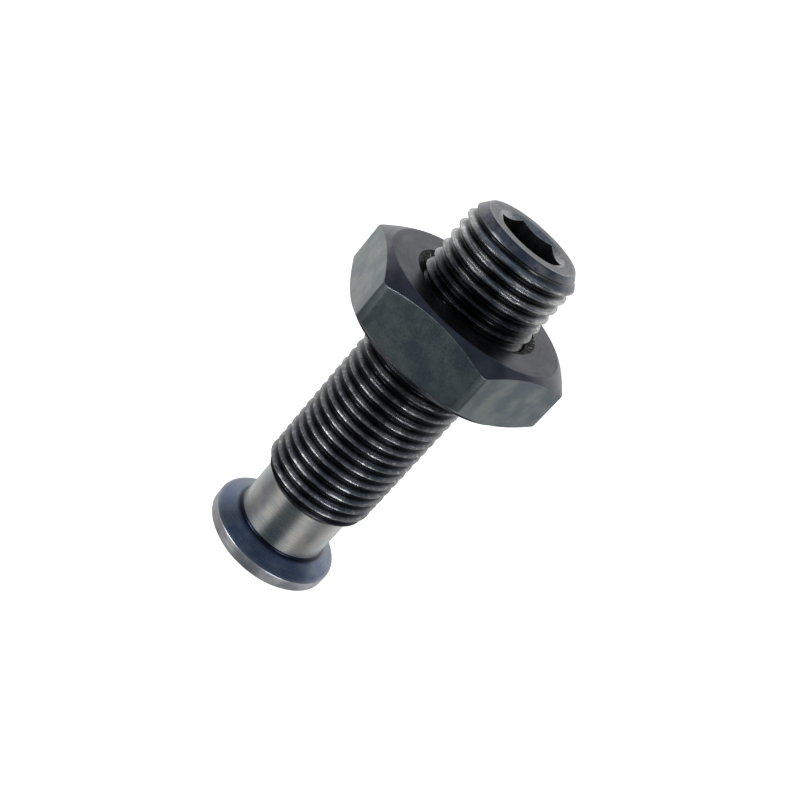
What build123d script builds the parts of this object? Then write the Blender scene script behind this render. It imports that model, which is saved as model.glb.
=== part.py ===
"""Height-adjusting screw and lock nut of a quick change tool holder.

The screw stands upright on its round foot. The foot hooks under the tool post's lip, the neck above it
leaves room for that lip, and the M10 x 1 thread turns in the tool holder, driven by a hexagon key from
the top. The thin hexagon nut jams against the holder and locks the height.

Frame: the origin is the middle of the foot's underside, +Z runs along the screw towards the socket, and
+X goes through two corners of the socket.
"""

from build123d import *
import os
from math import ceil, radians, sqrt, tan

# Driving dimensions, in mm and degrees ----------------------------------------------------------

total_length = 35.5

foot_diameter = 11.8
foot_bevel_width = 0.37  # round the underside, across the radius
foot_bevel_height = 0.35
foot_rim_top = 1.3
foot_cone_angle = 30.0  # from the horizontal
neck_diameter = 8.2
neck_fillet = 0.3

# M10 x 1, right-handed, with the basic profile's 60 degree flanks
thread_diameter = 10.0
thread_pitch = 1.0
thread_flank_angle = 30.0  # each flank, from the plane across the axis
thread_depth = 0.6134 * thread_pitch
crest_width = thread_pitch / 8
thread_start = 7.75  # the lowest full turn
thread_lead_in = 1.1  # height of the bevel at the top end
top_face_diameter = 8.3
groove_height_at_x = 5.95  # where the groove starts, on the +X side, below the thread

socket_across_flats = 5.0
socket_depth = 6.0
socket_mouth_diameter = 6.2
socket_mouth_angle = 60.0  # half of the 120 degree countersink
socket_drill_diameter = 4.9
socket_drill_angle = 59.0  # half of the drill's point

nut_across_flats = 17.0
nut_height = 5.5  # the bearing face included
nut_underside = 23.45  # height above the foot, where the nut was left
nut_turn_at_rest = -5.6  # a corner's angle from +X
nut_chamfer_circle = 0.95 * nut_across_flats
nut_chamfer_angle = 30.0
nut_mouth_diameter = 11.4  # countersink of the thread, at both ends
nut_mouth_angle = 60.0  # half of the 120 degree countersink
bearing_face_diameter = 15.8
bearing_face_height = 0.3

# How far the nut's thread stands off the screw's, so that it runs freely
radial_clearance = 0.10
flank_clearance = 0.08  # along the axis

# How far a cutter stands out of the surface that it cuts, and how near an edge is to its stated height
thread_overcut = 0.05
blank_overcut = 1.0
edge_tolerance = 0.01

# Worked out from the driving dimensions ---------------------------------------------------------

foot_radius = foot_diameter / 2
neck_radius = neck_diameter / 2
thread_radius = thread_diameter / 2
root_radius = thread_radius - thread_depth
flank_slope = tan(radians(thread_flank_angle))

cone_top = foot_rim_top + (foot_radius - neck_radius) * tan(radians(foot_cone_angle))
thread_end = thread_start - (thread_radius - neck_radius)  # a 45 degree bevel down to the neck
thread_top = total_length - thread_lead_in

socket_floor = total_length - socket_depth
drill_radius = socket_drill_diameter / 2
drill_tip = socket_floor - drill_radius / tan(radians(socket_drill_angle))
socket_mouth_radius = socket_mouth_diameter / 2
socket_mouth_bottom = total_length - socket_mouth_radius / tan(radians(socket_mouth_angle))

nut_top = nut_underside + nut_height
nut_body_bottom = nut_underside + bearing_face_height
nut_bore_radius = root_radius + radial_clearance
nut_mouth_radius = nut_mouth_diameter / 2
nut_mouth_depth = (nut_mouth_radius - nut_bore_radius) / tan(radians(nut_mouth_angle))
nut_chamfer_radius = nut_chamfer_circle / 2
nut_blank_radius = nut_across_flats / sqrt(3) + blank_overcut
nut_chamfer_height = (nut_blank_radius - nut_chamfer_radius) * tan(radians(nut_chamfer_angle))

screw_groove_turns = ceil((total_length - groove_height_at_x) / thread_pitch)

# the nut's groove holds the screw's ridge, half a pitch from the screw's groove, and starts below the nut
turns_below_nut = int((nut_underside - groove_height_at_x) / thread_pitch) - 1
nut_groove_start = groove_height_at_x + (turns_below_nut + 0.5) * thread_pitch
nut_groove_turns = ceil((nut_top - nut_groove_start) / thread_pitch) + 1


def screw_groove_half_width(radius):
    """Half the width, along the axis, of the groove in the screw at a radius."""
    return (thread_pitch - crest_width) / 2 - (thread_radius - radius) * flank_slope


def nut_groove_half_width(radius):
    """Half the width of the groove in the nut, which takes the screw's ridge and its clearance."""
    return thread_pitch / 2 - screw_groove_half_width(radius) + flank_clearance


def cut_helical_groove(start_height, turns, inner_radius, outer_radius, half_width):
    """Cut a right-handed groove from the part being built, turn by turn, from the +X side upwards."""
    middle_radius = (inner_radius + outer_radius) / 2
    for turn in range(turns):
        height = start_height + turn * thread_pitch
        with BuildLine() as path:
            Helix(thread_pitch, thread_pitch, middle_radius, center=(0, 0, height))
        with BuildSketch(Plane.XZ) as profile:
            with BuildLine():
                Polyline(
                    (inner_radius, height - half_width(inner_radius)),
                    (outer_radius, height - half_width(outer_radius)),
                    (outer_radius, height + half_width(outer_radius)),
                    (inner_radius, height + half_width(inner_radius)),
                    close=True,
                )
            make_face()
        sweep(profile.sketch, path=path.line, is_frenet=True, mode=Mode.SUBTRACT)


# Adjusting screw: one turned piece, from the foot to the key's socket ---------------------------

with BuildPart() as adjusting_screw:
    with BuildSketch(Plane.XZ):
        with BuildLine():
            Polyline(
                (0, 0),
                (foot_radius - foot_bevel_width, 0),
                (foot_radius, foot_bevel_height),
                (foot_radius, foot_rim_top),
                (neck_radius, cone_top),
                (neck_radius, thread_end),
                (thread_radius, thread_start),
                (thread_radius, thread_top),
                (top_face_diameter / 2, total_length),
                (0, total_length),
                close=True,
            )
        make_face()
    revolve(axis=Axis.Z)
    neck_base = adjusting_screw.edges().filter_by_position(
        Axis.Z, cone_top - edge_tolerance, cone_top + edge_tolerance
    )
    fillet(neck_base, neck_fillet)

    # the socket: the hexagon, the drill's point below it and the countersunk mouth
    with BuildSketch(Plane.XY.offset(total_length)):
        RegularPolygon(socket_across_flats / 2, 6, major_radius=False)
    extrude(amount=-socket_depth, mode=Mode.SUBTRACT)
    with BuildSketch(Plane.XZ):
        with BuildLine():
            Polyline((0, drill_tip), (drill_radius, socket_floor), (0, socket_floor), close=True)
        make_face()
        with BuildLine():
            Polyline(
                (0, socket_mouth_bottom),
                (socket_mouth_radius, total_length),
                (0, total_length),
                close=True,
            )
        make_face()
    revolve(axis=Axis.Z, mode=Mode.SUBTRACT)

    cut_helical_groove(
        groove_height_at_x,
        screw_groove_turns,
        root_radius,
        thread_radius + thread_overcut,
        screw_groove_half_width,
    )
adjusting_screw.part.label = "adjusting_screw"


# Lock nut, above its bearing face ---------------------------------------------------------------

with BuildPart() as lock_nut:
    with BuildSketch(Plane.XY.offset(nut_body_bottom)):
        RegularPolygon(nut_across_flats / 2, 6, major_radius=False, rotation=nut_turn_at_rest)
    extrude(amount=nut_top - nut_body_bottom)

    # a cone at each end turns the corners away, from the chamfer circle outwards
    with BuildSketch(Plane.XZ):
        with BuildLine():
            Polyline(
                (0, nut_body_bottom),
                (nut_chamfer_radius, nut_body_bottom),
                (nut_blank_radius, nut_body_bottom + nut_chamfer_height),
                (nut_blank_radius, nut_top - nut_chamfer_height),
                (nut_chamfer_radius, nut_top),
                (0, nut_top),
                close=True,
            )
        make_face()
    revolve(axis=Axis.Z, mode=Mode.INTERSECT)

    # the bore, with a countersink at both ends
    with BuildSketch(Plane.XZ):
        with BuildLine():
            Polyline(
                (0, nut_body_bottom),
                (nut_mouth_radius, nut_body_bottom),
                (nut_bore_radius, nut_body_bottom + nut_mouth_depth),
                (nut_bore_radius, nut_top - nut_mouth_depth),
                (nut_mouth_radius, nut_top),
                (0, nut_top),
                close=True,
            )
        make_face()
    revolve(axis=Axis.Z, mode=Mode.SUBTRACT)

    cut_helical_groove(
        nut_groove_start,
        nut_groove_turns,
        nut_bore_radius - thread_overcut,
        thread_radius + radial_clearance,
        nut_groove_half_width,
    )
lock_nut.part.label = "lock_nut"


# The nut's bearing face, the low ring on its underside that jams against the tool holder --------

with BuildPart() as nut_bearing_face:
    with BuildSketch(Plane.XY.offset(nut_underside)):
        Circle(bearing_face_diameter / 2)
        Circle(nut_mouth_radius, mode=Mode.SUBTRACT)
    extrude(amount=bearing_face_height)
nut_bearing_face.part.label = "nut_bearing_face"


# Write the pieces -------------------------------------------------------------------------------

os.makedirs("parts", exist_ok=True)
export_step(adjusting_screw.part, "parts/adjusting_screw.step")
export_step(lock_nut.part, "parts/lock_nut.step")
export_step(nut_bearing_face.part, "parts/nut_bearing_face.step")
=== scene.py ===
"""Looks of a tool holder's height screw and its lock nut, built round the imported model.

The screw is a turned, black-oxidised piece whose neck, rim and thread crests are rubbed bright. The
nut is oxidised hexagon bar. Every mesh is a closed skin round the Z axis: rows of points follow the
outline, columns go round it, and the threads are rows that climb with the helix. Outlines are in
millimetres, and the camera looks from the -Y side.
"""

from math import atan2, ceil, cos, pi, radians, sin, tan

import bmesh
import bpy
import numpy as np
from mathutils import Matrix, Vector, noise


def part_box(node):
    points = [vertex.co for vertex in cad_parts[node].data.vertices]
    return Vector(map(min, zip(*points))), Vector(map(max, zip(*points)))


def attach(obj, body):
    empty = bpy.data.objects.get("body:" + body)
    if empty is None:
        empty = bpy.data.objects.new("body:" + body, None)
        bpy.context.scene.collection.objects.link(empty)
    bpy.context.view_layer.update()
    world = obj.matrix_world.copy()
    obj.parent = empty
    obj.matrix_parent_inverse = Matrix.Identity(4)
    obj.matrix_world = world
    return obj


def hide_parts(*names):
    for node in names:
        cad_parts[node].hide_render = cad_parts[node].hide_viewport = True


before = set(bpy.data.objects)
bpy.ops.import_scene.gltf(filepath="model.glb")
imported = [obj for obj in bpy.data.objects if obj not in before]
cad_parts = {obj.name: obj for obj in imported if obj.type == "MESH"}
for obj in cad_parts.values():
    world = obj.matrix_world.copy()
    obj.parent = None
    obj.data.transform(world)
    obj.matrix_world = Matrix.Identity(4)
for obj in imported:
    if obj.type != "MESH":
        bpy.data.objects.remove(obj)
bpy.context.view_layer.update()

MM = 0.001  # one millimetre, in metres

# Sizes read from the frame, in mm ---------------------------------------------------------------


def box_in_mm(node):
    """The lowest and highest corners of a CAD node, in mm."""
    low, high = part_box(node)
    return low / MM, high / MM


_, screw_high = box_in_mm("adjusting_screw")
nut_low, nut_high = box_in_mm("lock_nut")
ring_low, ring_high = box_in_mm("nut_bearing_face")

TOTAL_LENGTH = screw_high.z
FOOT_RADIUS = screw_high.x
NUT_BOTTOM = nut_low.z
NUT_TOP = nut_high.z
RING_BOTTOM = ring_low.z
RING_RADIUS = ring_high.x

# Sizes of the screw's features, in mm, as in the CAD --------------------------------------------

FOOT_BEVEL_WIDTH = 0.37
FOOT_BEVEL_HEIGHT = 0.35
FOOT_RIM_TOP = 1.3
FOOT_CONE_SLOPE = tan(radians(30))
NECK_RADIUS = 4.1
NECK_FILLET_TANGENT = 0.17
PITCH = 1.0
THREAD_RADIUS = 5.0
THREAD_DEPTH = 0.6134
THREAD_START = 7.75
THREAD_TOP = 34.4
NECK_TOP = THREAD_START - THREAD_RADIUS + NECK_RADIUS  # below the thread's 45 degree bevel
GROOVE_HEIGHT_AT_X = 5.95  # where a groove's middle crosses the +X side
FLANK_SLOPE = tan(radians(30))
CREST_WIDTH = PITCH / 8
TOP_FACE_RADIUS = 4.15
TOP_BEVEL_SLOPE = 0.85 / 1.1  # radius lost over height, above the thread
SOCKET_APOTHEM = 2.5
SOCKET_DEPTH = 6.0
SOCKET_MOUTH_RADIUS = 3.1
SOCKET_DRILL_RADIUS = 2.45
DRILL_SLOPE = 1 / tan(radians(59))

# Sizes of the nut's features, in mm, as in the CAD, but for its rounded corners -----------------

NUT_APOTHEM = 8.5
NUT_CORNER_ROUNDING = 0.8  # radius, as in the photo, where the CAD's corners are sharp
NUT_CORNER_RADIUS = (NUT_APOTHEM - NUT_CORNER_ROUNDING) / cos(pi / 6) + NUT_CORNER_ROUNDING
NUT_TURN = radians(-5.6)  # a corner's angle from +X
CHAMFER_RADIUS = 0.95 * NUT_APOTHEM
CHAMFER_SLOPE = tan(radians(30))
MOUTH_RADIUS = 5.7
BORE_RADIUS = 4.487
NUT_GROOVE_RADIUS = 5.1
FLANK_CLEARANCE = 0.08  # along the axis

COUNTERSINK_SLOPE = 1 / tan(radians(60))  # height over radius, for every 120 degree countersink

# How finely the skins are cut -------------------------------------------------------------------

SCREW_COLUMNS = 180  # a multiple of 6, so that the socket's corners fall on columns
EVEN_ANGLES = np.arange(SCREW_COLUMNS) * 2 * pi / SCREW_COLUMNS
NUT_COLUMNS_PER_FLAT = 36
CORNER_STEPS = 4
# places across one pitch, from the groove's middle: root, flank, crest, flank and back to the root
THREAD_ROWS = (0, 0.055, 0.11, 0.2, 0.3, 0.4, 0.45, 0.5, 0.55, 0.6, 0.7, 0.8, 0.89, 0.945)
SPARE_TURNS_BELOW = 3  # spare turns lie flat at a thread's ends, where welding takes them away
SPARE_TURNS_ABOVE = 2
WELD_DISTANCE = 1e-7  # in metres
SHARP_ANGLE = radians(38)
SHORTEST_STEP = 1e-9  # keeps a step of no length from dividing by zero


# Skins: closed meshes round the Z axis ----------------------------------------------------------


class Skin:
    """A closed surface round the Z axis, made of strips of rows that are welded where they meet."""

    def __init__(self, angles):
        self.angles = np.asarray(angles, float)
        self.vertices = []
        self.faces = []
        self.finishes = []
        self.vertex_count = 0

    def strip(self, rows, finishes, lead=0):
        """Join rows of (radii, heights) by quads.

        Each stretch between two rows has its finish. On a helix, a row closes onto the row that
        comes lead rows later.
        """
        columns = len(self.angles)
        radii = np.array([np.broadcast_to(row[0], columns) for row in rows], float)
        heights = np.array([np.broadcast_to(row[1], columns) for row in rows], float)
        x = radii * np.cos(self.angles)
        y = radii * np.sin(self.angles)
        self.vertices.append(np.stack([x, y, heights], axis=2).reshape(-1, 3))

        here = self.vertex_count + np.arange(len(rows) * columns).reshape(len(rows), columns)
        closing = here[lead:, :1]
        closed = len(closing) - 1  # how many stretches go all the way round
        beside = np.hstack([here[: closed + 1, 1:], closing])
        quads = np.stack([here[:closed], beside[:-1], beside[1:], here[1 : closed + 1]], axis=2)
        self.faces.append(quads.reshape(-1, 4))
        self.finishes.append(np.repeat(finishes[:closed], columns))
        if lead:  # the last turn has no row to close onto, and lies flat at the strip's end
            tail = here[closed:]
            quads = np.stack([tail[:-1, :-1], tail[:-1, 1:], tail[1:, 1:], tail[1:, :-1]], axis=2)
            self.faces.append(quads.reshape(-1, 4))
            self.finishes.append(np.repeat(finishes[closed : len(rows) - 1], columns - 1))
        self.vertex_count += here.size

    def outline(self, corners):
        """Add a strip through corners of (radius, height, rounding, finish after the corner)."""
        columns = len(self.angles)
        places = [
            np.array([np.broadcast_to(radius, columns), np.broadcast_to(height, columns)], float)
            for radius, height, _, _ in corners
        ]
        rows = []
        finishes = []
        for i, (_, _, rounding, finish) in enumerate(corners):
            if not rounding:
                rows.append(places[i])
                finishes.append(finish)
                continue
            start = places[i] + rounding * unit(places[i - 1] - places[i])
            end = places[i] + rounding * unit(places[i + 1] - places[i])
            for t in np.linspace(0, 1, CORNER_STEPS + 1):
                rows.append((1 - t) ** 2 * start + 2 * t * (1 - t) * places[i] + t**2 * end)
                finishes.append(finish if t >= 0.5 else corners[i - 1][3])
        self.strip(rows, finishes[:-1])

    def piece(self, name, materials):
        """The finished mesh object, welded, with its normals outwards."""
        mesh = bpy.data.meshes.new(name)
        vertices = np.vstack(self.vertices) * MM
        mesh.from_pydata(vertices.tolist(), [], np.vstack(self.faces).tolist())
        finishes = np.concatenate(self.finishes).astype(np.int32)
        mesh.polygons.foreach_set("material_index", finishes)
        for material in materials:
            mesh.materials.append(material)
        cleaned = bmesh.new()
        cleaned.from_mesh(mesh)
        bmesh.ops.remove_doubles(cleaned, verts=cleaned.verts, dist=WELD_DISTANCE)
        bmesh.ops.dissolve_degenerate(cleaned, edges=cleaned.edges, dist=WELD_DISTANCE)
        bmesh.ops.recalc_face_normals(cleaned, faces=cleaned.faces)
        cleaned.to_mesh(mesh)
        cleaned.free()
        mesh.shade_smooth()
        mesh.set_sharp_from_angle(angle=SHARP_ANGLE)
        piece = bpy.data.objects.new(name, mesh)
        bpy.context.scene.collection.objects.link(piece)
        weighted = piece.modifiers.new("flat_faces_stay_flat", "WEIGHTED_NORMAL")
        weighted.keep_sharp = True
        return piece


def unit(steps):
    """Each column's step from one place to the next, at length one."""
    return steps / np.maximum(np.hypot(steps[0], steps[1]), SHORTEST_STEP)


def hexagon(angles, apothem, rounding=0.0):
    """The radius of a hexagon at each angle from one of its corners, its corners rounded."""
    off_corner = (angles + pi / 6) % (pi / 3) - pi / 6
    off_flat = pi / 6 - np.abs(off_corner)
    flat = apothem / np.cos(off_flat)
    if not rounding:
        return flat
    centre = (apothem - rounding) / cos(pi / 6)  # of the rounding, from the axis
    tangent = atan2(rounding * sin(pi / 6), centre + rounding * cos(pi / 6))
    across = np.minimum(np.abs(centre * np.sin(off_corner)), rounding)
    arc = centre * np.cos(off_corner) + np.sqrt(rounding**2 - across**2)
    return np.where(np.abs(off_corner) < tangent, arc, flat)


def soft_min(a, b, softness):
    """The smaller of two values, rounded where they cross."""
    near = np.maximum(softness - np.abs(a - b), 0) / softness
    return np.minimum(a, b) - near**2 * softness / 4


def soft_max(a, b, softness):
    """The larger of two values, rounded where they cross."""
    return -soft_min(-a, -b, softness)


def helix_rows(skin, low, high, profile):
    """Rows of (radii, heights) that climb with the thread from low to high.

    profile gives the radii, from the share of the pitch across the groove, the heights and the
    angles.
    """
    climb = PITCH * skin.angles / (2 * pi)
    first = (ceil((low - GROOVE_HEIGHT_AT_X) / PITCH) - SPARE_TURNS_BELOW) * PITCH
    first += GROOVE_HEIGHT_AT_X
    turns = ceil((high - first) / PITCH) + SPARE_TURNS_ABOVE
    rows = []
    for turn in range(turns):
        for across in THREAD_ROWS:
            height = np.clip(first + PITCH * (turn + across) + climb, low, high)
            rows.append((profile(across, height, skin.angles), height))
    return rows


# The screw --------------------------------------------------------------------------------------

OXIDE_THREAD, BRIGHT_NECK, BLUE_CONE, BRIGHT_RIM, TOP_FACE, SOCKET = range(6)
ROOT_SOFTNESS = 0.07  # two lines of the thread's outline are rounded where they are nearer
CREST_SOFTNESS = 0.42
CREST_FILLING = 0.05  # put back on the crest, since its rounding takes some off the top
TEAR_DEPTH = 0.05  # how far the cut thread's crests are torn, at most
TEAR_LENGTH = 0.55
EDGE_ROUNDING = 0.07


def screw_blank_radius(height):
    """The turned blank's radius along the thread, with its bevels at both ends."""
    return np.interp(
        height,
        (NECK_TOP, THREAD_START, THREAD_TOP, TOTAL_LENGTH),
        (NECK_RADIUS, THREAD_RADIUS, THREAD_RADIUS, TOP_FACE_RADIUS),
    )


def torn(height, angles):
    """A small loss of metal at each place, in mm, from a fixed noise field."""
    loss = [
        noise.noise(Vector((THREAD_RADIUS * cos(a), THREAD_RADIUS * sin(a), h)) / TEAR_LENGTH)
        for h, a in zip(height, angles)
    ]
    return TEAR_DEPTH * np.clip(np.array(loss), 0, 1)


def screw_thread_radius(across, height, angles):
    """The screw's radius at a share of the pitch from the groove's middle."""
    from_groove = PITCH * min(across, 1 - across)
    half_opening = (PITCH - CREST_WIDTH) / 2
    flank = THREAD_RADIUS - (half_opening - from_groove) / FLANK_SLOPE
    radius = soft_max(flank, THREAD_RADIUS - THREAD_DEPTH, ROOT_SOFTNESS)
    radius = soft_min(radius + CREST_FILLING, THREAD_RADIUS + CREST_FILLING, CREST_SOFTNESS)
    share = (radius - THREAD_RADIUS + THREAD_DEPTH) / THREAD_DEPTH
    return np.minimum(radius - share * torn(height, angles), screw_blank_radius(height))


def make_screw(materials):
    """The height screw: foot, neck, thread and key socket, as one skin."""
    skin = Skin(EVEN_ANGLES)
    cone_top = FOOT_RIM_TOP + (FOOT_RADIUS - NECK_RADIUS) * FOOT_CONE_SLOPE
    skin.outline([
        (0, 0, 0, BRIGHT_RIM),
        (FOOT_RADIUS - FOOT_BEVEL_WIDTH, 0, EDGE_ROUNDING, BRIGHT_RIM),
        (FOOT_RADIUS, FOOT_BEVEL_HEIGHT, EDGE_ROUNDING, BRIGHT_RIM),
        (FOOT_RADIUS, FOOT_RIM_TOP, EDGE_ROUNDING, BLUE_CONE),
        (NECK_RADIUS, cone_top, NECK_FILLET_TANGENT, BLUE_CONE),
        (NECK_RADIUS, cone_top + NECK_FILLET_TANGENT, 0, BRIGHT_NECK),
        (NECK_RADIUS, NECK_TOP, 0, BRIGHT_NECK),
    ])

    thread_rows_top = TOTAL_LENGTH - 2 * EDGE_ROUNDING
    rows = helix_rows(skin, NECK_TOP, thread_rows_top, screw_thread_radius)
    skin.strip(rows, [OXIDE_THREAD] * (len(rows) - 1), lead=len(THREAD_ROWS))

    wall = hexagon(skin.angles, SOCKET_APOTHEM)
    wall_top = TOTAL_LENGTH - (SOCKET_MOUTH_RADIUS - wall) * COUNTERSINK_SLOPE
    floor = TOTAL_LENGTH - SOCKET_DEPTH
    skin.outline([
        (screw_blank_radius(thread_rows_top), thread_rows_top, 0, OXIDE_THREAD),
        (TOP_FACE_RADIUS, TOTAL_LENGTH, EDGE_ROUNDING, TOP_FACE),
        (SOCKET_MOUTH_RADIUS, TOTAL_LENGTH, EDGE_ROUNDING, TOP_FACE),
        (wall, wall_top, EDGE_ROUNDING / 2, SOCKET),
        (wall, floor, 0, SOCKET),
        (SOCKET_DRILL_RADIUS, floor, 0, SOCKET),
        (0, floor - SOCKET_DRILL_RADIUS * DRILL_SLOPE, 0, SOCKET),
    ])
    return skin.piece("height_screw", materials)


# The nut and its bearing face -------------------------------------------------------------------

HEX_SIDE, TURNED_FACE, NUT_THREAD = range(3)
CORNER_CROWDING = 0.9  # how strongly columns crowd towards the nut's corners, from 0 to 1
SIDE_EDGE_ROUNDING = 0.09
MOUTH_LAND = 0.04  # a narrow ring round the bore's mouth, which keeps the face beyond it flat


def nut_bore_radius(across, height, _):
    """The bore's radius at a share of the pitch from the screw's groove, countersinks included."""
    from_ridge = PITCH * (0.5 - min(across, 1 - across))
    half_opening = CREST_WIDTH / 2 + FLANK_CLEARANCE
    flank = THREAD_RADIUS - (from_ridge - half_opening) / FLANK_SLOPE
    radius = soft_max(flank, BORE_RADIUS, ROOT_SOFTNESS)
    radius = soft_min(radius, NUT_GROOVE_RADIUS, ROOT_SOFTNESS)
    from_face = np.minimum(height - NUT_BOTTOM, NUT_TOP - height)
    return np.maximum(radius, MOUTH_RADIUS - from_face / COUNTERSINK_SLOPE)


def make_nut(materials):
    """The lock nut above its bearing face: hexagon, chamfered corners and threaded bore."""
    t = np.arange(6 * NUT_COLUMNS_PER_FLAT) / NUT_COLUMNS_PER_FLAT
    from_corner = pi / 3 * (t - CORNER_CROWDING * np.sin(2 * pi * t) / (2 * pi))
    skin = Skin(NUT_TURN + from_corner)
    side = hexagon(from_corner, NUT_APOTHEM, NUT_CORNER_ROUNDING)
    chamfer = (side - CHAMFER_RADIUS) * CHAMFER_SLOPE

    rows = helix_rows(skin, NUT_BOTTOM, NUT_TOP, nut_bore_radius)
    skin.strip(rows, [NUT_THREAD] * (len(rows) - 1), lead=len(THREAD_ROWS))
    skin.outline([
        (MOUTH_RADIUS, NUT_TOP, 0, TURNED_FACE),
        (MOUTH_RADIUS + MOUTH_LAND, NUT_TOP, 0, TURNED_FACE),
        (CHAMFER_RADIUS, NUT_TOP, SIDE_EDGE_ROUNDING, TURNED_FACE),
        (side, NUT_TOP - chamfer, SIDE_EDGE_ROUNDING, HEX_SIDE),
        (side, NUT_BOTTOM + chamfer, SIDE_EDGE_ROUNDING, TURNED_FACE),
        (CHAMFER_RADIUS, NUT_BOTTOM, SIDE_EDGE_ROUNDING, TURNED_FACE),
        (MOUTH_RADIUS + MOUTH_LAND, NUT_BOTTOM, 0, TURNED_FACE),
        (MOUTH_RADIUS, NUT_BOTTOM, 0, TURNED_FACE),
    ])
    return skin.piece("hex_lock_nut", materials)


def make_bearing_face(materials):
    """The low ring under the nut, in one finish."""
    skin = Skin(EVEN_ANGLES)
    skin.outline([
        (MOUTH_RADIUS, RING_BOTTOM, 0, 0),
        (RING_RADIUS, RING_BOTTOM, EDGE_ROUNDING, 0),
        (RING_RADIUS, NUT_BOTTOM, 0, 0),
        (MOUTH_RADIUS, NUT_BOTTOM, 0, 0),
        (MOUTH_RADIUS, RING_BOTTOM, 0, 0),
    ])
    return skin.piece("nut_bearing_ring", materials)


# Materials --------------------------------------------------------------------------------------


class Nodes:
    """A node tree being built, of a material or of the world."""

    def __init__(self, owner):
        owner.use_nodes = True
        self.tree = owner.node_tree
        self.tree.nodes.clear()

    def add(self, kind, **settings):
        node = self.tree.nodes.new(kind)
        for name, value in settings.items():
            setattr(node, name, value)
        return node

    def feed(self, socket, value):
        """Link a socket to another, or give it a plain value."""
        if isinstance(value, bpy.types.NodeSocket):
            self.tree.links.new(value, socket)
        else:
            socket.default_value = value

    def output(self, kind, surface):
        """The tree's output node, with the shader that it shows."""
        self.feed(self.add("ShaderNodeOutput" + kind).inputs["Surface"], surface)

    def split(self, vector):
        """A vector's x, y and z."""
        node = self.add("ShaderNodeSeparateXYZ")
        self.feed(node.inputs[0], vector)
        return node.outputs

    def vector(self, operation, a, b=None, scale=None, output="Vector"):
        node = self.add("ShaderNodeVectorMath", operation=operation)
        self.feed(node.inputs[0], a)
        if b is not None:
            self.feed(node.inputs[1], b)
        if scale is not None:
            self.feed(node.inputs["Scale"], scale)
        return node.outputs[output]

    def math(self, operation, a, b=0.0):
        node = self.add("ShaderNodeMath", operation=operation)
        self.feed(node.inputs[0], a)
        self.feed(node.inputs[1], b)
        return node.outputs[0]

    def times(self, a, b):
        return self.math("MULTIPLY", a, b)

    def fade(self, value, start, end, low=0.0, high=1.0):
        """low where value is at start, high where it is at end, and a smooth turn between."""
        node = self.add("ShaderNodeMapRange", interpolation_type="SMOOTHSTEP")
        for socket, number in zip(node.inputs, (value, start, end, low, high)):
            self.feed(socket, number)
        return node.outputs[0]

    def mix(self, share, a, b):
        """Colour a where share is 0, b where it is 1."""
        node = self.add("ShaderNodeMix", data_type="RGBA")
        self.feed(node.inputs["Factor"], share)
        for socket, colour in zip(node.inputs[6:8], (a, b)):
            plain = not isinstance(colour, bpy.types.NodeSocket)
            self.feed(socket, (*colour, 1) if plain else colour)
        return node.outputs[2]

    def mix_shaders(self, share, a, b):
        node = self.add("ShaderNodeMixShader")
        for socket, value in zip(node.inputs, (share, a, b)):
            self.feed(socket, value)
        return node.outputs[0]

    def ramp(self, value, stops):
        """A colour for value, from 0 to 1, between stops of (position, colour)."""
        node = self.add("ShaderNodeValToRGB")
        self.feed(node.inputs[0], value)
        elements = node.color_ramp.elements
        while len(elements) < len(stops):
            elements.new(0.5)
        for element, (position, colour) in zip(elements, stops):
            element.position = position
            element.color = (*colour, 1)
        return node.outputs[0]


class Finish(Nodes):
    """A metal finish: a material whose patterns are placed in millimetres on the piece."""

    def __init__(self, name):
        self.material = bpy.data.materials.new(name)
        super().__init__(self.material)
        self.shader = self.add("ShaderNodeBsdfPrincipled")
        self.shader.inputs["Metallic"].default_value = 1.0
        self.output("Material", self.shader.outputs["BSDF"])

        place = self.add("ShaderNodeTexCoord").outputs["Object"]
        self.place = self.vector("SCALE", place, scale=1 / MM)
        self.height = self.split(self.place)[2]
        flat = self.vector("MULTIPLY", self.place, (1, 1, 0))
        self.radius = self.vector("LENGTH", flat, output="Value")
        self.outwards = self.vector("NORMALIZE", flat)  # the place's direction from the axis

    def noise(self, scale, detail=3.0, roughness=0.55, place=None):
        """Noise from 0 to 1, at scale features per mm of place."""
        node = self.add("ShaderNodeTexNoise")
        self.feed(node.inputs["Vector"], self.place if place is None else place)
        for name, value in (("Scale", scale), ("Detail", detail), ("Roughness", roughness)):
            node.inputs[name].default_value = value
        return node.outputs["Fac"]

    def lines_round(self, value, per_mm, streak=1.5):
        """Lathe lines: noise drawn out round the axis, at per_mm lines along value."""
        around = self.vector("SCALE", self.outwards, scale=streak)
        along = self.add("ShaderNodeCombineXYZ")
        self.feed(along.inputs["Z"], self.times(value, per_mm))
        place = self.vector("ADD", around, along.outputs[0])
        return self.noise(1.0, detail=2.0, place=place)

    def stretched(self, *per_mm):
        """Noise with its own number of features per mm along x, y and z."""
        return self.noise(1.0, place=self.vector("MULTIPLY", self.place, per_mm))

    def colour(self, value):
        self.feed(self.shader.inputs["Base Color"], value)

    def roughness(self, pattern, low, high, change=None):
        """Roughness from low to high by a noise pattern, and a change added to it."""
        rough = self.fade(pattern, *GRAIN, low, high)
        if change is not None:
            rough = self.math("ADD", rough, change)
        self.feed(self.shader.inputs["Roughness"], rough)

    def bump(self, height, depth):
        """Relief from a pattern from 0 to 1, depth in mm from its lowest to its highest."""
        node = self.add("ShaderNodeBump")
        node.inputs["Distance"].default_value = depth * MM
        self.feed(node.inputs["Height"], height)
        self.feed(self.shader.inputs["Normal"], node.outputs[0])


# Noise keeps to the middle of 0 to 1: its values where a pattern starts and where it is full
PATCHES = (0.35, 0.65)
GRAIN = (0.3, 0.7)

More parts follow.
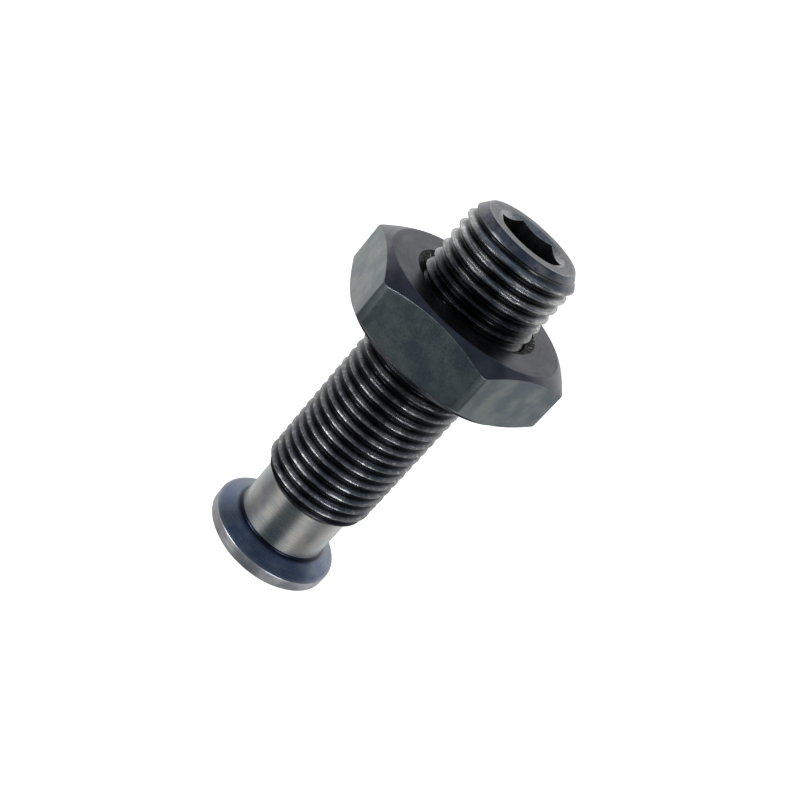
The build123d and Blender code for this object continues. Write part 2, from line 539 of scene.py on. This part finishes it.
# Colours, in pairs of the two kinds of patches in one finish
THREAD_OXIDE = (0.095, 0.108, 0.138), (0.145, 0.150, 0.152)
# painted shade: the colour of the thread's roots, where the groove lies in shade
THREAD_ROOT_SHADE = (0.020, 0.022, 0.026)
RUBBED_CREST = (0.190, 0.195, 0.195), (0.45, 0.45, 0.43)
UPPER_CREST = (0.43, 0.43, 0.42), (0.66, 0.65, 0.61)
# painted shade: the nut's dark reflection on the thread's front
PAINTED_NUT_SHADE = (0.012, 0.013, 0.016)
# painted shade: the near-black of the nut's bore and countersinks
NUT_THREAD_SHADE = (0.006, 0.006, 0.007)
TORN_SPECK = (0.42, 0.42, 0.41)
NECK_STEEL = (0.57, 0.56, 0.53), (0.42, 0.45, 0.47)
NECK_LINE = (0.20, 0.22, 0.24)
CONE_BLUE = (0.108, 0.138, 0.208), (0.158, 0.186, 0.226)
# painted shade in the crease beside the neck
CONE_SHADE_BESIDE_NECK = (0.013, 0.016, 0.028)
CONE_RUBBED = (0.42, 0.43, 0.46)
RIM_STEEL = (0.60, 0.61, 0.62), (0.40, 0.415, 0.45)
RIM_LINE = (0.15, 0.16, 0.18)
TOP_OXIDE = (0.21, 0.21, 0.215), (0.30, 0.295, 0.29)
TOP_WORN = (0.50, 0.50, 0.49)
# painted shade in the socket, darker with depth
SOCKET_SHADE = (0.002, 0.002, 0.003), (0.022, 0.024, 0.026)  # deep down, and at the mouth
SOCKET_STREAK = (0.010, 0.010, 0.011)
HEX_OXIDE = (0.130, 0.160, 0.182), (0.215, 0.240, 0.238)
HEX_SCUFF = (0.24, 0.24, 0.26)
HEX_EDGE = (0.25, 0.26, 0.265)
# painted shade on the hexagon's rounded corners
HEX_CORNER_SHADE = (0.045, 0.055, 0.060)
TURNED_OXIDE = (0.066, 0.070, 0.082), (0.112, 0.116, 0.126)
TURNED_LINE = (0.055, 0.058, 0.075)

# Where finishes start and are full, in mm
OXIDE_DEPTHS = (0.44, 0.09)  # below the thread's full radius
RUBBED_DEPTHS = (0.36, 0.06)
UPPER_RUB = 0.10  # how much deeper the thread is rubbed above the nut
UPPER_FADE = 2.0  # the height over which that starts
BEVEL_FADE = 0.2  # the height over which the rubbed finish ends at the bevel
PAINTED_NUT_SHADE_HEIGHTS = (3.6, 1.4)  # above and below the nut's top face
SHADE_BESIDE_NECK = (0.50, 0.10)  # outwards from the neck
RUBBED_CONE = 0.35  # inwards from the rim
WORN_TOP = 0.45  # inwards from the top face's edge
WORN_MOUTH = 0.1  # to both sides of the socket mouth's edge
LIT_SOCKET = 2.5  # below the socket's mouth
WORN_HEX_EDGE = 0.22  # below the sides' upper edges
SHADED_CORNERS = (0.12, 0.02)  # inwards from the hexagon's corners
PAINTED_NUT_SHADE_FRONT = (0.2, -0.8)  # not in mm: the outward direction's y, -1 on the camera's side

# How much of a line's, streak's, worn edge's or painted shade's colour there is, at most
NECK_LINE_SHARE = 0.12
RIM_LINE_SHARE = 0.4
TURNED_LINE_SHARE = 0.2
SOCKET_STREAK_SHARE = 0.4
HEX_SCUFF_SHARE = 0.5
RUBBED_CONE_SHARE = 0.7
RUBBED_BEVEL_SHARE = 0.05
WORN_MOUTH_SHARE = 0.8
HEX_EDGE_SHARE = 0.12
HEX_CORNER_SHADE_SHARE = 0.7
PAINTED_NUT_SHADE_SHARE = 0.9


def thread_finish():
    """Black oxide on the thread: painted shade darkening its roots, crests rubbed grey with bright,
    torn specks, and painted shade on its front beside the nut.
    """
    finish = Finish("black_oxide_screw_thread")
    above = finish.math("SUBTRACT", finish.height, THREAD_TOP)
    above = finish.math("MAXIMUM", above, 0.0)  # height above the bevel's start
    # the bevel at the screw's end counts as a crest
    radius = finish.math("ADD", finish.radius, finish.times(above, TOP_BEVEL_SLOPE))
    upper = finish.fade(finish.height, NUT_TOP, NUT_TOP + UPPER_FADE)
    upper = finish.times(upper, finish.fade(above, BEVEL_FADE, 0.0))
    radius = finish.math("ADD", radius, finish.times(upper, UPPER_RUB))

    stains = finish.noise(1.1)
    oxide = finish.mix(finish.fade(stains, *PATCHES), *THREAD_OXIDE)
    crest = finish.fade(radius, *(THREAD_RADIUS - depth for depth in OXIDE_DEPTHS))
    # painted shade: the flanks darken towards the root, below the oxide depths
    dark = finish.mix(crest, THREAD_ROOT_SHADE, oxide)

    specks = finish.fade(finish.noise(2.6, detail=4.0, roughness=0.65), 0.48, 0.66)
    rubbed = finish.mix(specks, *RUBBED_CREST)
    rubbed = finish.mix(upper, rubbed, finish.mix(specks, *UPPER_CREST))
    lines = finish.lines_round(finish.height, 14, streak=3.0)
    wear = finish.fade(radius, *(THREAD_RADIUS - depth for depth in RUBBED_DEPTHS))
    wear = finish.times(wear, finish.fade(lines, 0.30, 0.62))
    wear = finish.times(wear, finish.fade(above, 0.0, BEVEL_FADE, 1.0, RUBBED_BEVEL_SHARE))

    # painted shade: the nut's dark reflection, painted on the thread's front just above and below
    # the nut's top face
    from_nut = finish.math("ABSOLUTE", finish.math("SUBTRACT", finish.height, NUT_TOP))
    front = finish.fade(finish.split(finish.outwards)[1], *PAINTED_NUT_SHADE_FRONT)
    painted_nut_shade = finish.times(front, finish.fade(from_nut, *PAINTED_NUT_SHADE_HEIGHTS, 0.0, PAINTED_NUT_SHADE_SHARE))
    finish.colour(finish.mix(painted_nut_shade, finish.mix(wear, dark, rubbed), PAINTED_NUT_SHADE))
    finish.roughness(stains, 0.25, 0.36, change=finish.times(upper, -0.05))
    finish.bump(finish.math("ADD", lines, finish.noise(4.0)), 0.008)
    return finish.material


def nut_thread_finish():
    """The nut's thread and countersinks: painted shade, near-black, with a few bright torn specks.
    """
    finish = Finish("painted_shade_nut_thread")
    specks = finish.fade(finish.noise(3.2, detail=4.0, roughness=0.6), 0.60, 0.66)
    finish.feed(finish.shader.inputs["Metallic"], specks)
    finish.feed(finish.shader.inputs["Specular IOR Level"], 0.1)
    finish.colour(finish.mix(specks, NUT_THREAD_SHADE, TORN_SPECK))
    finish.roughness(finish.noise(2.0), 0.35, 0.55)
    finish.bump(finish.noise(4.0), 0.02)
    return finish.material


def neck_finish():
    """Bright turned steel, faintly stained, with fine lathe lines."""
    finish = Finish("bright_turned_steel")
    lines = finish.lines_round(finish.height, 22)
    steel = finish.mix(finish.fade(finish.noise(0.45), 0.38, 0.62), *NECK_STEEL)
    lined = finish.fade(lines, 0.35, 0.7, 0.0, NECK_LINE_SHARE)
    finish.colour(finish.mix(lined, steel, NECK_LINE))
    finish.roughness(lines, 0.20, 0.30)
    finish.bump(lines, 0.003)
    return finish.material


def cone_finish():
    """The foot's cone: temper-blue oxide with painted shade beside the neck, greyer where it is
    rubbed towards the rim.
    """
    finish = Finish("blue_black_cone")
    lines = finish.lines_round(finish.radius, 16)
    blue = finish.mix(finish.fade(finish.noise(0.8), *PATCHES), *CONE_BLUE)
    # painted shade: the cone darkened beside the neck, where the neck's shade and dark reflection
    # fall
    shade_beside_neck = finish.fade(finish.radius, *(NECK_RADIUS + width for width in SHADE_BESIDE_NECK))
    blue = finish.mix(shade_beside_neck, blue, CONE_SHADE_BESIDE_NECK)
    rim = (FOOT_RADIUS - RUBBED_CONE, FOOT_RADIUS)
    rubbed = finish.fade(finish.radius, *rim, 0.0, RUBBED_CONE_SHARE)
    finish.colour(finish.mix(finish.times(rubbed, lines), blue, CONE_RUBBED))
    finish.roughness(lines, 0.23, 0.33)
    finish.bump(lines, 0.006)
    return finish.material


def rim_finish():
    """The foot's rim and underside, rubbed to bare steel by the tool post."""
    finish = Finish("rubbed_rim_steel")
    along = finish.math("ADD", finish.radius, finish.height)  # up the rim and across the underside
    lines = finish.lines_round(along, 15, streak=2.0)
    steel = finish.mix(finish.fade(finish.noise(0.7), *PATCHES), *RIM_STEEL)
    lined = finish.fade(lines, 0.35, 0.75, 0.0, RIM_LINE_SHARE)
    finish.colour(finish.mix(lined, steel, RIM_LINE))
    finish.roughness(lines, 0.36, 0.48)
    finish.bump(lines, 0.008)
    return finish.material


def top_finish():
    """The screw's faced end: thin grey oxide with lathe rings, bright on its edges."""
    finish = Finish("faced_grey_oxide")
    lines = finish.lines_round(finish.radius, 14)
    oxide = finish.mix(finish.fade(finish.noise(1.2), *PATCHES), *TOP_OXIDE)
    edge = finish.fade(finish.radius, TOP_FACE_RADIUS - WORN_TOP, TOP_FACE_RADIUS)
    mouth = (SOCKET_MOUTH_RADIUS + WORN_MOUTH, SOCKET_MOUTH_RADIUS - WORN_MOUTH)
    mouth = finish.fade(finish.radius, *mouth, 0.0, WORN_MOUTH_SHARE)
    worn = finish.math("MAXIMUM", edge, mouth)
    worn = finish.times(worn, finish.fade(finish.noise(6.0), 0.3, 0.6))
    finish.colour(finish.mix(worn, oxide, TOP_WORN))
    finish.roughness(lines, 0.28, 0.40)
    finish.bump(lines, 0.025)
    return finish.material


def socket_finish():
    """The broached socket: black oxide darkened with depth by painted shade."""
    finish = Finish("black_socket")
    broached = finish.stretched(9, 9, 0.6)
    # painted shade: lighter near the mouth, darker deep down
    near_mouth = finish.fade(finish.height, TOTAL_LENGTH - LIT_SOCKET, TOTAL_LENGTH)
    dark = finish.mix(near_mouth, *SOCKET_SHADE)
    streaked = finish.fade(broached, 0.4, 0.7, 0.0, SOCKET_STREAK_SHARE)
    finish.colour(finish.mix(streaked, dark, SOCKET_STREAK))
    finish.roughness(broached, 0.4, 0.6)
    finish.bump(broached, 0.02)
    return finish.material


def hex_side_finish():
    """Oxidised hexagon bar: faint lines along the bar, soft stains, scuffs, rubbed edges and
    painted shade on its rounded corners.
    """
    finish = Finish("slate_oxide_hexagon")
    drawn = finish.stretched(6, 6, 0.35)
    grain = finish.noise(7.0, detail=4.0)
    oxide = finish.mix(finish.fade(finish.noise(0.5, detail=4.0), *PATCHES), *HEX_OXIDE)
    scuffed = finish.times(drawn, finish.noise(0.5))
    scuffed = finish.fade(scuffed, 0.33, 0.42, 0.0, HEX_SCUFF_SHARE)
    oxide = finish.mix(scuffed, oxide, HEX_SCUFF)
    # the sides' upper edges, which drop towards the corners with the chamfer
    chamfer = finish.times(finish.math("SUBTRACT", finish.radius, CHAMFER_RADIUS), CHAMFER_SLOPE)
    from_top = finish.math("SUBTRACT", finish.math("SUBTRACT", NUT_TOP, finish.height), chamfer)
    edge = finish.fade(from_top, WORN_HEX_EDGE, 0.0)
    edge = finish.times(edge, finish.fade(grain, 0.35, 0.6))
    oxide = finish.mix(finish.times(edge, HEX_EDGE_SHARE), oxide, HEX_EDGE)
    # painted shade: the rounded corners darkened, as where they turn away from the light
    corner = finish.fade(finish.radius, *(NUT_CORNER_RADIUS - width for width in SHADED_CORNERS))
    finish.colour(finish.mix(finish.times(corner, HEX_CORNER_SHADE_SHARE), oxide, HEX_CORNER_SHADE))
    finish.roughness(grain, 0.30, 0.38, change=finish.times(corner, 0.2))
    finish.bump(finish.math("ADD", finish.times(drawn, 0.6), grain), 0.003)
    return finish.material


def turned_face_finish():
    """The nut's turned faces and corner chamfers: darker blue-black oxide with lathe rings."""
    finish = Finish("blue_black_turned_face")
    lines = finish.lines_round(finish.radius, 9)
    oxide = finish.mix(finish.fade(finish.noise(0.5, detail=4.0), *PATCHES), *TURNED_OXIDE)
    lined = finish.fade(lines, 0.4, 0.7, 0.0, TURNED_LINE_SHARE)
    finish.colour(finish.mix(lined, oxide, TURNED_LINE))
    finish.roughness(lines, 0.27, 0.33)
    finish.bump(lines, 0.004)
    return finish.material


# Camera, floor and light ------------------------------------------------------------------------

CAMERA_ELEVATION = radians(24.92)
CAMERA_ROLL = radians(41.6)
CAMERA_DISTANCE = 93.48
CAMERA_AIM = (0.585, 0.0, 18.364)  # the point in the middle of the picture
LENS = 52.33
SENSOR = 36.0

FLOOR_HALF_WIDTH = 2.0  # in metres
FLOOR_GAP = 0.02  # how far the floor lies below the foot
FLOOR_COLOUR = (0.8, 0.8, 0.8)
FLOOR_GLOW = 0.8  # light of its own, which makes it as white as the photo's background


def make_camera():
    """The photo's camera: it looks down from the -Y side, rolled so that the screw leans over."""
    data = bpy.data.cameras.new("camera")
    data.sensor_width = SENSOR
    data.lens = LENS
    data.clip_start = 1 * MM
    camera = bpy.data.objects.new("camera", data)
    bpy.context.scene.collection.objects.link(camera)
    turn = Matrix.Rotation(pi / 2 - CAMERA_ELEVATION, 4, "X") @ Matrix.Rotation(CAMERA_ROLL, 4, "Z")
    back = Vector((0, -cos(CAMERA_ELEVATION), sin(CAMERA_ELEVATION)))
    where = (Vector(CAMERA_AIM) + back * CAMERA_DISTANCE) * MM
    camera.matrix_world = Matrix.Translation(where) @ turn
    bpy.context.scene.camera = camera


def make_floor():
    """A wide white floor, which is clear from below so that it never hides the foot's underside."""
    material = bpy.data.materials.new("white_floor")
    nodes = Nodes(material)
    white = nodes.add("ShaderNodeBsdfPrincipled")
    white.inputs["Base Color"].default_value = (*FLOOR_COLOUR, 1)
    white.inputs["Roughness"].default_value = 1.0
    white.inputs["Specular IOR Level"].default_value = 0.0
    white.inputs["Emission Color"].default_value = (1, 1, 1, 1)
    white.inputs["Emission Strength"].default_value = FLOOR_GLOW
    clear = nodes.add("ShaderNodeBsdfTransparent")
    underside = nodes.add("ShaderNodeNewGeometry").outputs["Backfacing"]
    nodes.output("Material", nodes.mix_shaders(underside, white.outputs[0], clear.outputs[0]))

    mesh = bpy.data.meshes.new("floor")
    corners = [(x, y, -FLOOR_GAP * MM) for x, y in ((-1, -1), (1, -1), (1, 1), (-1, 1))]
    corners = [(x * FLOOR_HALF_WIDTH, y * FLOOR_HALF_WIDTH, z) for x, y, z in corners]
    mesh.from_pydata(corners, [], [(0, 1, 2, 3)])
    mesh.materials.append(material)
    floor = bpy.data.objects.new("floor", mesh)
    bpy.context.scene.collection.objects.link(floor)
    floor.visible_diffuse = False
    floor.visible_glossy = False
    floor.visible_shadow = False


# The studio's colour round the horizon, by the angle from the photographer's side in degrees: dark
# behind the camera, with a tall bright panel at each side of it, and a bright backdrop
AROUND = (
    (0, (0.058, 0.082, 0.096)),
    (20, (0.08, 0.10, 0.11)),
    (33, (0.66, 0.65, 0.64)),
    (49, (0.66, 0.65, 0.64)),
    (66, (0.30, 0.30, 0.30)),
    (88, (0.28, 0.28, 0.28)),
    (115, (0.60, 0.60, 0.59)),
    (140, (0.85, 0.84, 0.82)),
    (155, (0.70, 0.70, 0.69)),
    (180, (0.46, 0.46, 0.46)),
)
# Its colour from straight down, -1, to straight up, 1
UPWARD = (
    (-1.0, (0.30, 0.30, 0.31)),
    (-0.55, (0.65, 0.66, 0.67)),
    (0.0, (1.0, 1.0, 1.0)),
    (0.45, (0.85, 0.86, 0.90)),
    (0.68, (0.24, 0.26, 0.33)),
    (1.0, (0.06, 0.07, 0.10)),
)
OVERHEAD = (0.12, 0.15, 0.20)
OVERHEAD_RANGE = (0.6, 0.92)  # how far up, from 0 to 1, the overhead colour starts and is full
STUDIO_STRENGTH = 1.5


def make_world():
    """Soft studio surroundings, with plain white for the camera."""
    world = bpy.data.worlds.new("studio")
    bpy.context.scene.world = world
    nodes = Nodes(world)
    x, y, z = nodes.split(nodes.add("ShaderNodeTexCoord").outputs["Generated"])
    angle = nodes.math("ARCTAN2", nodes.math("ABSOLUTE", x), nodes.times(y, -1.0))
    around = [(degrees / 180, colour) for degrees, colour in AROUND]
    upward = [((up + 1) / 2, colour) for up, colour in UPWARD]
    horizon = nodes.ramp(nodes.math("DIVIDE", angle, pi), around)
    climb = nodes.ramp(nodes.math("ADD", nodes.times(z, 0.5), 0.5), upward)
    colour = nodes.vector("MULTIPLY", horizon, climb)
    colour = nodes.mix(nodes.fade(z, *OVERHEAD_RANGE), colour, OVERHEAD)

    studio = nodes.add("ShaderNodeBackground")
    nodes.feed(studio.inputs["Color"], colour)
    studio.inputs["Strength"].default_value = STUDIO_STRENGTH
    white = nodes.add("ShaderNodeBackground")
    white.inputs["Color"].default_value = (1, 1, 1, 1)
    seen = nodes.add("ShaderNodeLightPath").outputs["Is Camera Ray"]
    nodes.output("World", nodes.mix_shaders(seen, studio.outputs[0], white.outputs[0]))


BOX_SIZE = (0.12, 0.22)  # width and height, in metres
BOX_DISTANCE = 0.35  # in metres
BOX_ELEVATION = radians(22)


def soft_box(name, azimuth, power):
    """A soft box that looks at the middle of the part, at an azimuth from the camera's side."""
    data = bpy.data.lights.new(name, "AREA")
    data.shape = "RECTANGLE"
    data.size, data.size_y = BOX_SIZE
    data.energy = power
    light = bpy.data.objects.new(name, data)
    bpy.context.scene.collection.objects.link(light)
    level = cos(BOX_ELEVATION)
    towards = Vector((sin(azimuth) * level, -cos(azimuth) * level, sin(BOX_ELEVATION)))
    middle = Vector((0, 0, TOTAL_LENGTH / 2 * MM))
    light.location = middle + towards * BOX_DISTANCE
    light.rotation_euler = towards.to_track_quat("Z", "Y").to_euler()
    light.visible_camera = False


def make_lights():
    """Two soft boxes, whose reflections are the light streaks down the thread."""
    soft_box("left_box", azimuth=radians(-48), power=0.8)
    soft_box("right_box", azimuth=radians(46), power=0.65)


# Everything put together ------------------------------------------------------------------------

make_camera()
bpy.context.scene.view_settings.view_transform = "Standard"  # the photo's whites stay white

screw = make_screw([
    thread_finish(),
    neck_finish(),
    cone_finish(),
    rim_finish(),
    top_finish(),
    socket_finish(),
])
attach(screw, "screw")
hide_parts("adjusting_screw")

turned_face = turned_face_finish()
nut = make_nut([
    hex_side_finish(),
    turned_face,
    nut_thread_finish(),
])
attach(nut, "nut")
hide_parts("lock_nut")

ring = make_bearing_face([turned_face])
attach(ring, "nut_carrier")
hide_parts("nut_bearing_face")

make_floor()
make_world()
make_lights()
